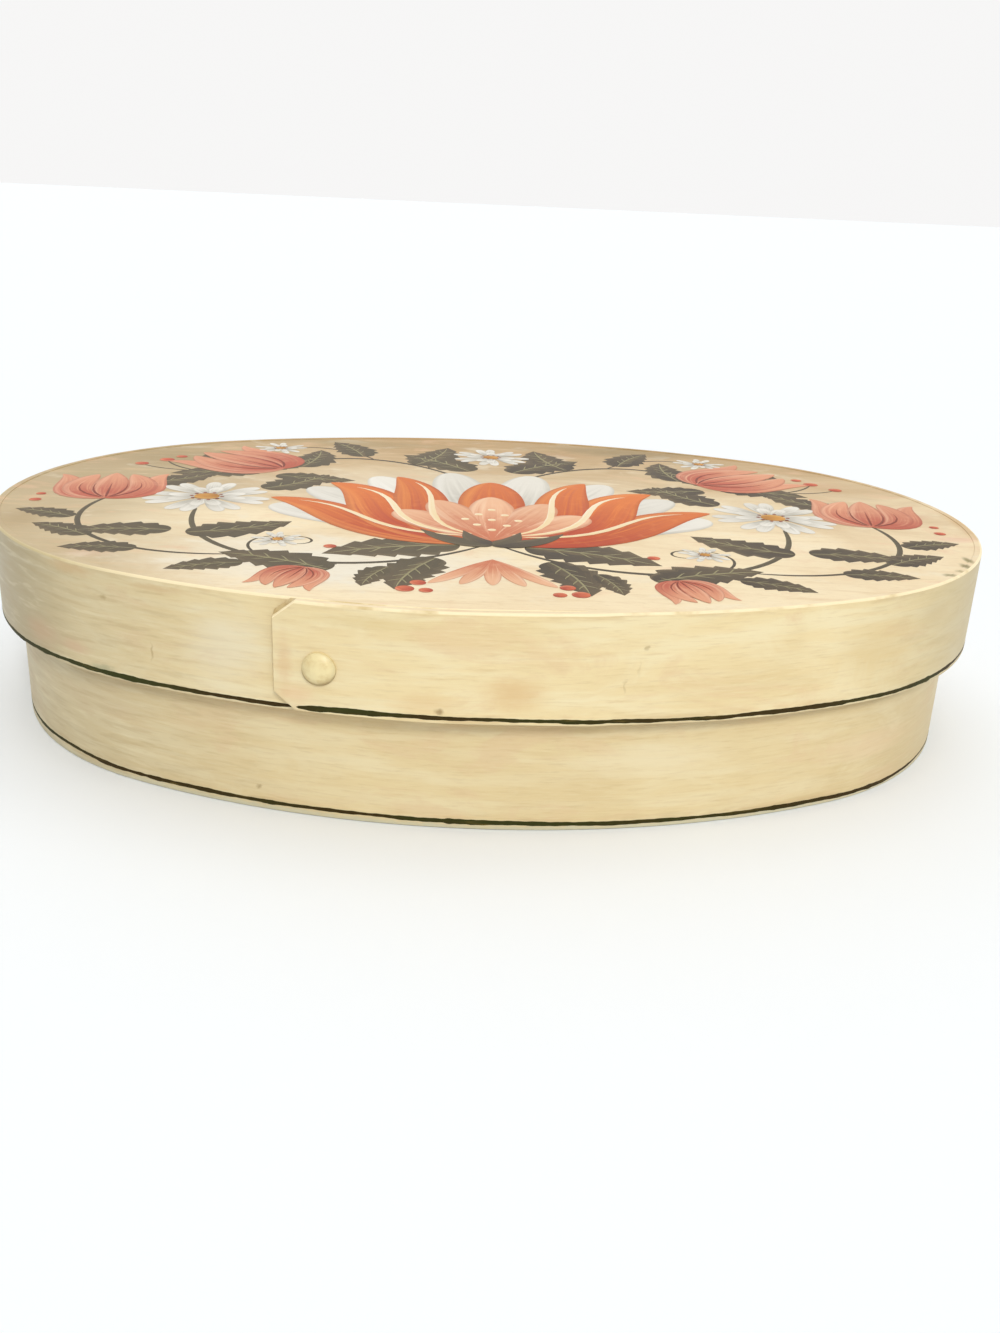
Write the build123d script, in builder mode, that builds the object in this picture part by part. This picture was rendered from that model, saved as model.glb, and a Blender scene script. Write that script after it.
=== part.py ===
from build123d import *
import os
from math import atan2, cos, degrees, pi, radians, sin

# Oval bentwood box with a lift-off lid.
# Millimetres, +Z up. The origin is the centre of the underside, X runs along
# the box, and the front, where the lid's lap shows, faces -Y.

# Lid, measured over its band
lid_length = 400
lid_width = 284
lid_side_radius = 300
lid_band_height = 38.5
lid_edge_round = 0.7

# Heights of the base's band and of the two boards
base_band_height = 75
lid_board_thickness = 5.5
base_board_thickness = 6
lid_board_recess = 0.3

# The bent bands and their laps. A lap starts at its outer ply's end, so far from the middle of
# the side that it is on, and runs to the right as one faces that side.
band_thickness = 3
lid_lap_start = -70
base_lap_start = -70
lap_length = 100
lap_full_length = 34
lap_settle_length = 14
feather_thickness = 0.8
corner_cut_length = 7.5
corner_cut_height = 6
corner_cut_slant = 20

# The domed buttons that hold the laps
button_head_diameter = 11.5
button_rim_height = 0.5
button_dome_height = 2.4
button_shank_diameter = 7
button_from_end = 15.5
lid_button_height = 16.5
base_button_height = 21

# The square pegs that hold the boards, placed by their angles about the oval's four centres
peg_side = 2.2
peg_length = 15
peg_taper = 1.5
peg_side_angle = 18
peg_end_angle = 42

# Clearances
glue_line = 0.2
board_clearance = 0.1
hole_clearance = 0.05
lap_play = 1
seat_gap = 0.2
end_sink = 0.1

# Every oval in the box is an inset of the lid's outside and has the same four centres: two on X
# for the tight ends, two on Y for the long sides.
half_length = lid_length / 2
half_width = lid_width / 2
lid_end_radius = (2 * lid_side_radius * half_width - half_length**2 - half_width**2) / (
    2 * (lid_side_radius - half_length)
)
side_centre = lid_side_radius - half_width
end_centre = half_length - lid_end_radius
side_turn = degrees(atan2(end_centre, side_centre))
end_turn = 90 - side_turn

# The lid's band hangs clear of the proud ply of the base's lap.
ply_rise = glue_line + band_thickness
base_inset = band_thickness + ply_rise + lap_play
lid_board_underside = base_band_height + seat_gap
lid_top = lid_board_underside + lid_board_thickness + lid_board_recess
lid_band_bottom = lid_top - lid_band_height
lid_peg_level = lid_board_underside + lid_board_thickness / 2
base_peg_level = base_board_thickness / 2

# The base's outline is drawn half a turn round from the lid's, so that its lap is at the back.
base_plane = Plane(origin=(0, 0, 0), x_dir=(-1, 0, 0), z_dir=(0, 0, 1))


def front_angle(distance):
    """The angle, from the middle of a long side, of a point this far along the lid's outside."""
    return degrees(distance / lid_side_radius)


def front_point(radius, angle):
    """A point on the front, by its distance and angle from the centre of that side's arcs."""
    return (radius * sin(radians(angle)), side_centre - radius * cos(radians(angle)))


def lap_angles(lap_start):
    """Where the outer ply ends, where the inner ply starts to thin, where it ends, and where the
    outer ply lies on the oval again."""
    lengths = (0, lap_full_length, lap_length, lap_length + lap_settle_length)
    return [front_angle(lap_start + length) for length in lengths]


def add_oval(inset):
    """A closed oval of four tangent arcs."""
    side = lid_side_radius - inset
    end = lid_end_radius - inset
    CenterArc((end_centre, 0), end, -end_turn, 2 * end_turn)
    CenterArc((0, -side_centre), side, end_turn, 2 * side_turn)
    CenterArc((-end_centre, 0), end, 180 - end_turn, 2 * end_turn)
    CenterArc((0, side_centre), side, 180 + end_turn, 2 * side_turn)


def add_open_oval(inset, left, right):
    """The same oval, left open on its front between two angles."""
    side = lid_side_radius - inset
    end = lid_end_radius - inset
    CenterArc((0, side_centre), side, right - 90, side_turn - right)
    CenterArc((end_centre, 0), end, -end_turn, 2 * end_turn)
    CenterArc((0, -side_centre), side, end_turn, 2 * side_turn)
    CenterArc((-end_centre, 0), end, 180 - end_turn, 2 * end_turn)
    CenterArc((0, side_centre), side, 180 + end_turn, side_turn + left)


def add_eased_line(start_radius, end_radius, start_angle, end_angle):
    """A line along the front that eases from one radius to another, level at both ends."""
    steps = 8
    points = []
    for step in range(steps + 1):
        share = step / steps
        radius = start_radius + (end_radius - start_radius) * (1 - cos(pi * share)) / 2
        points.append(front_point(radius, start_angle + (end_angle - start_angle) * share))
    heading = 1 if end_angle > start_angle else -1
    tangents = [
        (heading * cos(radians(angle)), heading * sin(radians(angle)))
        for angle in (start_angle, end_angle)
    ]
    Spline(*points, tangents=tangents)


def add_lap_outside(inset, lap_start):
    """A band's outside seen from above: the oval, with the proud ply that sinks back to it."""
    outside = lid_side_radius - inset
    ply_outside = outside + ply_rise
    over_feather = outside + feather_thickness + glue_line
    end, full, feather, settled = lap_angles(lap_start)

    Line(front_point(outside, end), front_point(ply_outside, end))
    CenterArc((0, side_centre), ply_outside, end - 90, full - end)
    add_eased_line(ply_outside, over_feather, full, feather)
    add_eased_line(over_feather, outside, feather, settled)
    add_open_oval(inset, end, settled)


def add_lap_hollow(inset, lap_start):
    """What a band goes round, seen from above, and the glue line between the plies of its lap.
    The inner ply is planed down to a feather, which lets the outer ply sink to the oval."""
    outside = lid_side_radius - inset
    inside = outside - band_thickness
    ply_inside = outside + glue_line
    feather_top = inside + feather_thickness
    over_feather = feather_top + glue_line
    end, full, feather, settled = lap_angles(lap_start)
    mouth = end - front_angle(band_thickness)

    add_open_oval(inset + band_thickness, feather, settled)
    add_eased_line(inside, over_feather, settled, feather)
    add_eased_line(over_feather, ply_inside, feather, full)
    CenterArc((0, side_centre), ply_inside, full - 90, mouth - full)
    Line(front_point(ply_inside, mouth), front_point(outside, mouth))
    CenterArc((0, side_centre), outside, mouth - 90, full - mouth)
    add_eased_line(outside, feather_top, full, feather)
    Line(front_point(feather_top, feather), front_point(inside, feather))


def add_corner_cut(up):
    """The triangle pared off a corner of the outer ply's end, where the band is up or down."""
    slope = corner_cut_height / corner_cut_length
    spare = 2 * band_thickness
    near = (-spare, up * slope * (corner_cut_length + spare))
    far = (corner_cut_length + spare, -up * slope * spare)
    Polyline(near, far, (near[0], far[1]), close=True)


def ply_plane(inset, distance, height, turned=False):
    """A plane on the outer ply that faces straight outwards. Turned, it is on the back."""
    angle = front_angle(distance)
    x, y = front_point(lid_side_radius - inset + ply_rise, angle)
    way = -1 if turned else 1
    return Plane(
        origin=(way * x, way * y, height),
        x_dir=(way * cos(radians(angle)), way * sin(radians(angle)), 0),
        z_dir=(way * sin(radians(angle)), -way * cos(radians(angle)), 0),
    )


def peg_planes(inset, height):
    """Planes that face outwards where the pegs go in, three at each end and two on each side."""
    side = lid_side_radius - inset
    end = lid_end_radius - inset
    planes = []
    for centre_x, centre_y, radius, middle, offsets in (
        (end_centre, 0, end, 0, (-peg_end_angle, 0, peg_end_angle)),
        (0, -side_centre, side, 90, (-peg_side_angle, peg_side_angle)),
        (-end_centre, 0, end, 180, (-peg_end_angle, 0, peg_end_angle)),
        (0, side_centre, side, 270, (-peg_side_angle, peg_side_angle)),
    ):
        for offset in offsets:
            outwards = (cos(radians(middle + offset)), sin(radians(middle + offset)), 0)
            planes.append(
                Plane(
                    origin=(
                        centre_x + radius * outwards[0],
                        centre_y + radius * outwards[1],
                        height,
                    ),
                    x_dir=(-outwards[1], outwards[0], 0),
                    z_dir=outwards,
                )
            )
    return planes


def section_plane(face):
    """A plane through a button's middle, with X along the ply and Y straight outwards."""
    return Plane(origin=face.origin, x_dir=face.x_dir, z_dir=-face.y_dir)


def add_button_section():
    """Half of a button's section: the shank, the rim of the head and its dome."""
    head = button_head_diameter / 2
    shank = button_shank_diameter / 2
    shank_end = -(ply_rise + band_thickness - end_sink)
    dome_radius = (head**2 + button_dome_height**2) / (2 * button_dome_height)
    dome_centre = button_rim_height + button_dome_height - dome_radius
    rim_angle = degrees(atan2(button_rim_height - dome_centre, head))
    Polyline(
        (0, button_rim_height + button_dome_height),
        (0, shank_end),
        (shank, shank_end),
        (shank, 0),
        (head, 0),
        (head, button_rim_height),
    )
    CenterArc((0, dome_centre), dome_radius, rim_angle, 90 - rim_angle)


# The planes that face out of the two buttons
lid_button_face = ply_plane(0, lid_lap_start + button_from_end, lid_band_bottom + lid_button_height)
base_button_face = ply_plane(
    base_inset, base_lap_start + button_from_end, base_button_height, turned=True
)
button_hole_radius = button_shank_diameter / 2 + hole_clearance
button_hole_depth = ply_rise + 2 * band_thickness
peg_hole_side = peg_side + 2 * hole_clearance
peg_hole_depth = peg_length + 2 * end_sink
corner_cut_depth = band_thickness + glue_line / 2

os.makedirs("parts", exist_ok=True)

# Lid board: the flat oval that closes the lid, let in a little below its band
with BuildPart() as lid_board:
    with BuildSketch(Plane.XY.offset(lid_board_underside)):
        with BuildLine():
            add_oval(band_thickness + board_clearance)
        make_face()
    extrude(amount=lid_board_thickness)
    with BuildSketch(*peg_planes(0, lid_peg_level)):
        Rectangle(peg_hole_side, peg_hole_side)
    extrude(amount=-peg_hole_depth, mode=Mode.SUBTRACT)
lid_board.part.label = "lid_board"
export_step(lid_board.part, "parts/lid_board.step")

# Lid band: one strip bent round the lid board and lapped at the front left
with BuildPart() as lid_band:
    with BuildSketch(Plane.XY.offset(lid_band_bottom)):
        with BuildLine():
            add_lap_outside(0, lid_lap_start)
        make_face()
    extrude(amount=lid_band_height)
    upper = lid_band.faces().sort_by(Axis.Z)[-1].edges().sort_by(SortBy.LENGTH)
    fillet(upper[1:], radius=lid_edge_round)
    with BuildSketch(Plane.XY.offset(lid_band_bottom)):
        with BuildLine():
            add_lap_hollow(0, lid_lap_start)
        make_face()
    extrude(amount=lid_band_height, mode=Mode.SUBTRACT)
    for level, up in ((lid_band_bottom, 1), (lid_top, -1)):
        with BuildSketch(ply_plane(0, lid_lap_start, level)):
            with BuildLine():
                add_corner_cut(up)
            make_face()
    extrude(amount=-corner_cut_depth, taper=corner_cut_slant, mode=Mode.SUBTRACT)
    with Locations(lid_button_face):
        Hole(button_hole_radius, button_hole_depth)
    with BuildSketch(*peg_planes(0, lid_peg_level)):
        Rectangle(peg_hole_side, peg_hole_side)
    extrude(amount=-peg_hole_depth, mode=Mode.SUBTRACT)
lid_band.part.label = "lid_band"
export_step(lid_band.part, "parts/lid_band.step")

# Lid button: turned, domed, its shank glued through both plies of the lap
with BuildPart() as lid_button:
    with BuildSketch(section_plane(lid_button_face)):
        with BuildLine():
            add_button_section()
        make_face()
    revolve(axis=Axis(lid_button_face.origin, lid_button_face.z_dir))
lid_button.part.label = "lid_button"
export_step(lid_button.part, "parts/lid_button.step")

# Lid pegs: square, whittled to a taper, driven through the band into the edge of the board
with BuildPart() as lid_pegs:
    with BuildSketch(*peg_planes(end_sink, lid_peg_level)):
        Rectangle(peg_side, peg_side)
    extrude(amount=-peg_length, taper=peg_taper)
lid_pegs.part.label = "lid_pegs"
export_step(lid_pegs.part, "parts/lid_pegs.step")

# Base board: the oval bottom, flush with the lower edge of its band
with BuildPart() as base_board:
    with BuildSketch(Plane.XY):
        with BuildLine():
            add_oval(base_inset + band_thickness + board_clearance)
        make_face()
    extrude(amount=base_board_thickness)
    with BuildSketch(*peg_planes(base_inset, base_peg_level)):
        Rectangle(peg_hole_side, peg_hole_side)
    extrude(amount=-peg_hole_depth, mode=Mode.SUBTRACT)
base_board.part.label = "base_board"
export_step(base_board.part, "parts/base_board.step")

# Base band: a taller strip, bent round the base board and lapped at the back
with BuildPart() as base_band:
    with BuildSketch(base_plane):
        with BuildLine():
            add_lap_outside(base_inset, base_lap_start)
        make_face()
    extrude(amount=base_band_height)
    with BuildSketch(base_plane):
        with BuildLine():
            add_lap_hollow(base_inset, base_lap_start)
        make_face()
    extrude(amount=base_band_height, mode=Mode.SUBTRACT)
    for level, up in ((0, 1), (base_band_height, -1)):
        with BuildSketch(ply_plane(base_inset, base_lap_start, level, turned=True)):
            with BuildLine():
                add_corner_cut(up)
            make_face()
    extrude(amount=-corner_cut_depth, taper=corner_cut_slant, mode=Mode.SUBTRACT)
    with Locations(base_button_face):
        Hole(button_hole_radius, button_hole_depth)
    with BuildSketch(*peg_planes(base_inset, base_peg_level)):
        Rectangle(peg_hole_side, peg_hole_side)
    extrude(amount=-peg_hole_depth, mode=Mode.SUBTRACT)
base_band.part.label = "base_band"
export_step(base_band.part, "parts/base_band.step")

# Base button: the same button, in the lower half of the base's lap, below the lid
with BuildPart() as base_button:
    with BuildSketch(section_plane(base_button_face)):
        with BuildLine():
            add_button_section()
        make_face()
    revolve(axis=Axis(base_button_face.origin, base_button_face.z_dir))
base_button.part.label = "base_button"
export_step(base_button.part, "parts/base_button.step")

# Base pegs: as the lid's, into the edge of the base board
with BuildPart() as base_pegs:
    with BuildSketch(*peg_planes(base_inset + end_sink, base_peg_level)):
        Rectangle(peg_side, peg_side)
    extrude(amount=-peg_length, taper=peg_taper)
base_pegs.part.label = "base_pegs"
export_step(base_pegs.part, "parts/base_pegs.step")
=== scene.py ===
from math import cos, pi, radians, sin

import bmesh
import bpy
import numpy as np
from mathutils import Matrix, Vector


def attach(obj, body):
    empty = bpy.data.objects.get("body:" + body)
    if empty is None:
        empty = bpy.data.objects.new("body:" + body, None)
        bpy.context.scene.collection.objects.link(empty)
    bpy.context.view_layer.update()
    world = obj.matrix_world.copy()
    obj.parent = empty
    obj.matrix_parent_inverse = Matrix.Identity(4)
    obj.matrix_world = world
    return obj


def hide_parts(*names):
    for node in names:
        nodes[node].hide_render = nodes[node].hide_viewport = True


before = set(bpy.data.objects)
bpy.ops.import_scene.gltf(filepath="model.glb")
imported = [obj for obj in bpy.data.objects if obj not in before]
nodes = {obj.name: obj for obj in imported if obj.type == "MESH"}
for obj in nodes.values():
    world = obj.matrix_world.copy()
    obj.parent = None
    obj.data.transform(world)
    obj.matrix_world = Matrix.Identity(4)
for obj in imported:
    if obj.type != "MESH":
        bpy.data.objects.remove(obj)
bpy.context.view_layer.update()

# Base board: the oval bottom of the box. It is one flat board of pale wood, sawn to the oval, let
# in flush with the lower edge of its band and left bare on both faces. Square pegs, driven
# through the band, hold its edge.

MM = 0.001
half_length, half_width = 200.0, 142.0
side_radius, end_radius = 300.0, 125.18
side_turn = 0.44230
end_turn = pi / 2 - side_turn
base_inset = 7.2
band_thickness = 3.0
board_gap = 0.12
base_board_thickness = 6.0
lap_start = -70.0
lap_full, lap_feather, lap_settled = 34.0, 100.0, 114.0
ply_rise, ply_low = 3.2, 1.0


def ease(first, last, share):
    """From first to last along half a cosine wave, level at both ends."""
    return first + (last - first) * (1 - np.cos(pi * np.clip(share, 0, 1))) / 2


def oval_edge(inset, along):
    """A point of the box's oval, in millimetres, and the level direction outwards there.

    The oval is four arcs that meet smoothly: radius 300 - inset about (0, +-158) for the
    long sides and 125.18 - inset about (+-74.82, 0) for the ends. `along` is the distance
    round it from the middle of the front, to the right. The heading of the outward
    direction grows evenly along each arc, so it is interpolated from the arcs' lengths.
    """
    side, end = side_radius - inset, end_radius - inset
    turns = np.array([side_turn, 2 * end_turn, 2 * side_turn, 2 * end_turn, side_turn])
    lengths = np.cumsum([0, *(turns * [side, end, side, end, side])])
    headings = np.cumsum([-pi / 2, *turns])
    heading = np.interp(along % lengths[-1], lengths, headings)
    outwards = np.stack([np.cos(heading), np.sin(heading)], -1)
    side_centre = np.stack([0 * heading, -np.sign(outwards[..., 1])], -1)
    end_centre = np.stack([np.sign(outwards[..., 0]), 0 * heading], -1)
    on_side = (np.abs(outwards[..., 1]) > cos(side_turn))[..., None]
    edge = np.where(on_side, side_centre * (side_radius - half_width) + side * outwards,
                    end_centre * (half_length - end_radius) + end * outwards)
    return edge, outwards


def round_the_oval(inset):
    """The oval's whole length, in millimetres: its four arcs added up."""
    return 4 * (side_radius - inset) * side_turn + 4 * (end_radius - inset) * end_turn


def drawn_in(inset):
    """How much shorter distances along the long sides are on an inset of the oval."""
    return (side_radius - inset) / side_radius


def in_scene(name, data):
    """A new object in the scene that holds a mesh, a lamp or a camera."""
    made = bpy.data.objects.new(name, data)
    bpy.context.scene.collection.objects.link(made)
    return made


def make_piece(name, sheets, materials, crease=35):
    """One mesh object from closed sheets, each a grid of points in millimetres.

    A sheet is (points[rows, columns, 3], uv[rows, columns, 2], the material of each face).
    Neighbouring grid points make quads. Grid edges that meet are merged afterwards, which
    closes seams and poles, and the faces of each closed sheet are turned outwards.
    """
    points, faces, uvs, slots, start = [], [], [], [], 0
    for grid, uv, slot in sheets:
        rows, columns = grid.shape[:2]
        index = start + np.arange(rows * columns).reshape(rows, columns)
        quads = np.stack([index[:-1, :-1], index[1:, :-1], index[1:, 1:], index[:-1, 1:]], -1)
        faces.append(quads.reshape(-1, 4))
        points.append(grid.reshape(-1, 3) * MM)
        uvs.append(uv.reshape(-1, 2))
        slots.append(np.broadcast_to(slot, (rows - 1, columns - 1)).ravel())
        start += rows * columns
    points, faces, uvs = np.concatenate(points), np.concatenate(faces), np.concatenate(uvs)
    mesh = bpy.data.meshes.new(name)
    mesh.from_pydata(points, [], faces)
    mesh.polygons.foreach_set("material_index", np.concatenate(slots).astype(np.int32))
    layer = mesh.uv_layers.new(name="surface")
    layer.data.foreach_set("uv", uvs[faces.ravel()].astype(np.float32).ravel())
    for material in materials:
        mesh.materials.append(material)
    shell = bmesh.new()
    shell.from_mesh(mesh)
    bmesh.ops.remove_doubles(shell, verts=shell.verts, dist=2e-7)
    bmesh.ops.dissolve_degenerate(shell, edges=shell.edges, dist=1e-8)
    bmesh.ops.recalc_face_normals(shell, faces=shell.faces)
    shell.to_mesh(mesh)
    shell.free()
    mesh.shade_smooth()
    mesh.set_sharp_from_angle(angle=radians(crease))
    return in_scene(name, mesh)


def board_sheet(inset, bottom, thickness, edge_round, turned=1):
    """A flat oval board with rounded edges, as one closed sheet.

    Rows run from the middle of the underside out to the edge, up round it in two quarter
    circles, and back to the middle of the top; columns run round the oval. Off the edge a
    row is the oval scaled towards the middle. Past the lap's feather the edge stands out by
    as much as the band's inner face does there. The top has the second material, if any.
    """
    rings, bends, stations = 13, 7, 300
    share = np.concatenate([np.linspace(0, 1, rings + 1)[:-1] ** 0.8, np.ones(2 * bends),
                            np.linspace(1, 0, rings + 1)[1:] ** 0.8])
    quarter = np.linspace(0, pi / 2, bends)
    drawn, lifted = edge_round * (1 - np.sin(quarter)), edge_round * (1 - np.cos(quarter))
    flat = np.full(rings, edge_round)
    pulled_in = np.concatenate([flat, drawn, lifted, flat])[:, None, None]
    height = bottom + np.concatenate([0 * flat, lifted, thickness - drawn, 0 * flat + thickness])
    feather = (lap_start + lap_feather) * drawn_in(inset)
    along = np.linspace(0, 1, stations + 1) * round_the_oval(inset)
    along = np.unique(np.concatenate([along, [feather, feather + 0.3], feather + np.arange(1, 14)]))
    settling = (along - feather) / ((lap_settled - lap_feather) * drawn_in(inset))
    edge, outwards = oval_edge(inset, along)
    proud = np.where((settling > 0) & (settling < 1), ease(ply_low, 0, settling), 0)
    edge = edge + proud[:, None] * outwards
    level = share[:, None, None] * (edge - pulled_in * outwards) * turned
    height = np.broadcast_to(height[:, None, None], level.shape[:2] + (1,))
    top = (np.arange(len(share) - 1) >= rings + bends - 1)[:, None]
    return np.concatenate([level, height], -1), level * MM, top


def shade(code):
    """A colour written as six hexadecimal digits of screen colour, as linear light."""
    screen = np.array([int(code[i:i + 2], 16) for i in (0, 2, 4)]) / 255
    linear = np.where(screen <= 0.04045, screen / 12.92, ((screen + 0.055) / 1.055) ** 2.4)
    return (*linear.tolist(), 1.0)


def fresh_material(name):
    """A new material and the tree that holds its nodes."""
    material = bpy.data.materials.new(name)
    material.use_nodes = True
    return material, material.node_tree


def feed(node, inputs):
    """Sets a node's inputs to values, or links them to other nodes' outputs."""
    for key, value in inputs.items():
        if isinstance(value, bpy.types.NodeSocket):
            node.id_data.links.new(value, node.inputs[key])
        else:
            node.inputs[key].default_value = value


def step(kind, inputs, out=0, tree=None, **settings):
    """One node, fed with values and other nodes' outputs, whose tree it joins unless one is
    given. Gives one of its own outputs."""
    feeders = [value for value in inputs.values() if isinstance(value, bpy.types.NodeSocket)]
    made = (tree or feeders[0].id_data).nodes.new("ShaderNode" + kind)
    for key, value in settings.items():
        setattr(made, key, value)
    feed(made, inputs)
    return made.outputs[out]


def sums(how, a, b=0.0, c=0.0):
    """Arithmetic on two or three values."""
    return step("Math", {0: a, 1: b, 2: c}, operation=how)


def times(a, b, c=0.0):
    """The value a times b, plus c."""
    return sums("MULTIPLY_ADD", a, b, c)


def parts(vector):
    """A vector's three numbers."""
    return list(step("SeparateXYZ", {0: vector}).node.outputs)


def cloudy(where, stretch, detail=4.0, rough=0.55, bend=0.0):
    """Noise from 0 to 1 whose patches are 1 / stretch metres long in each direction."""
    placed = step("Mapping", {"Vector": where, "Scale": stretch})
    return step("TexNoise", {"Vector": placed, "Scale": 1.0, "Detail": detail,
                             "Roughness": rough, "Distortion": bend})


def rising(value, low, high):
    """0 below low, 1 above high, and a smooth rise between; falls where low is above high."""
    return step("MapRange", {"Value": value, "From Min": low, "From Max": high},
                interpolation_type="SMOOTHSTEP")


def mixed(share, first, second):
    """Two colours mixed, where share 0 is the first and 1 the second."""
    return step("Mix", {0: share, 6: first, 7: second}, out=2, data_type="RGBA")


def glazed(colour, coats):
    """The colour under thin coats of paint, one over the other. Each coat is a value, the levels
    where it starts and where it covers best, how well it covers there, and its colour."""
    for value, low, high, strength, code in coats:
        colour = mixed(times(rising(value, low, high), strength), colour, shade(code))
    return colour


def finish_coat(colour, roughness, relief, depth, specular):
    """Puts colour, roughness and a bump of `depth` metres on the material's shader."""
    feed(colour.id_data.nodes["Principled BSDF"], {
        "Base Color": colour, "Roughness": roughness, "Specular IOR Level": specular,
        "Normal": step("Bump", {"Strength": 1.0, "Distance": depth, "Height": relief})})


def bare_wood(name, light, dark, deep, source="Object", lie=(1.0, 1.0, 1.0)):
    """Planed wood: uneven growth rings and finer lines along the grain, bent a little, with pores.

    `source` is the coordinate that the grain follows and `lie` how it is stretched, so that
    X runs along the grain.
    """
    material, tree = fresh_material(name)
    laid = step("Mapping", {"Vector": step("TexCoord", {}, source, tree), "Scale": lie})
    warp = cloudy(laid, (3, 9, 9), 3, 0.5)
    aside = step("CombineXYZ", {1: times(warp, 0.05)})
    laid = step("VectorMath", {0: laid, 1: aside}, operation="ADD")
    rings = cloudy(laid, (1.3, 62, 62), 5, 0.62)
    lines = cloudy(laid, (5, 330, 330), 3, 0.6)
    pores = cloudy(laid, (40, 1300, 1300), 3, 0.6)
    body = glazed(shade(light), [
        (warp, 0.3, 0.72, 1.0, dark), (rings, 0.47, 0.63, 0.5, deep),
        (lines, 0.5, 0.7, 0.3, deep), (pores, 0.55, 0.75, 0.3, deep)])
    finish_coat(body, times(pores, 0.2, 0.5), pores, 0.00012, 0.35)
    return material


board_wood = bare_wood("bare_board_wood", "E0C79C", "D1B17F", "AD8854")
base_bottom = make_piece(
    "bottom_board",
    [board_sheet(base_inset + band_thickness + board_gap, 0.0, base_board_thickness,
                 edge_round=0.3, turned=-1)],
    [board_wood],
)
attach(base_bottom, "base")
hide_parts("base_board")

# Base band: a strip of thin wood, bent round the bottom board after soaking. Its outer end laps
# over its inner end at the back, where the inner end is planed to a feather and the outer end's
# corners are pared off. It is painted cream outside and bare inside.

base_band_height = 75.0
feather_thickness = 0.8
cut_length, cut_height, cut_slant = 7.5, 6.0, 1.5
paint_set_back = 0.05


def strip_faces(inset, distance):
    """How far the strip's outer and inner faces stand out from the oval, in millimetres.

    `distance` runs from the outer ply's end once round the box and on under that ply. The
    proud ply sinks by half cosine waves, first to the feather's thickness and then to the
    oval; past one turn the inner ply thins by the same wave to its feather.
    """
    full, feather, settled = np.array([lap_full, lap_feather, lap_settled]) * drawn_in(inset)
    outer = np.where(distance < feather,
                     ease(ply_rise, ply_low, (distance - full) / (feather - full)),
                     ease(ply_low, 0, (distance - feather) / (settled - feather)))
    under = distance - round_the_oval(inset)
    thinned = ease(0, feather_thickness - band_thickness, (under - full) / (feather - full))
    inner = np.where(under > 0, -band_thickness, outer - band_thickness)
    return np.where(under > 0, thinned, outer), inner


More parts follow.
